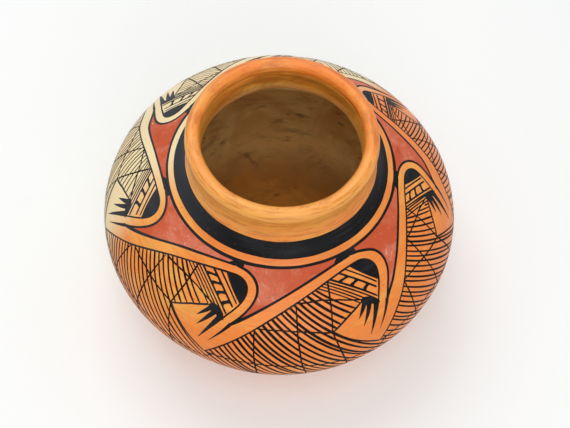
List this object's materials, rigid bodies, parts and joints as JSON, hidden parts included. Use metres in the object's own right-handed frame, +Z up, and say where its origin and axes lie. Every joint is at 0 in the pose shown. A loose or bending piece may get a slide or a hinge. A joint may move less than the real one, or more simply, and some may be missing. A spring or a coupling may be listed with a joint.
{
  "type": "pottery jar",
  "caption": "Wide, low coil-built pottery jar with a rounded belly, a short upright neck and a rolled lip, standing on a small flat foot.",
  "frame": {"origin": "centre of the flat foot that the jar stands on", "axes": "+Z up along the jar's own axis, which is an axis of symmetry; -Y is the side nearest the viewer in the picture"},
  "size_m": [0.19, 0.19, 0.1288],
  "materials": {
    "burnished_slip": "stone-burnished fired clay, satin"
  },
  "bodies": {
    "root": {"base_pat": "burnished_slip", "lower_coil_1": "burnished_slip", "lower_coil_2": "burnished_slip", "lower_coil_3": "burnished_slip", "lower_coil_4": "burnished_slip", "shoulder_coil_1": "burnished_slip", "shoulder_coil_2": "burnished_slip", "shoulder_coil_3": "burnished_slip", "shoulder_coil_4": "burnished_slip", "neck_coil_1": "burnished_slip", "neck_coil_2": "burnished_slip", "lip_coil": "burnished_slip"}
  },
  "joints": []
}
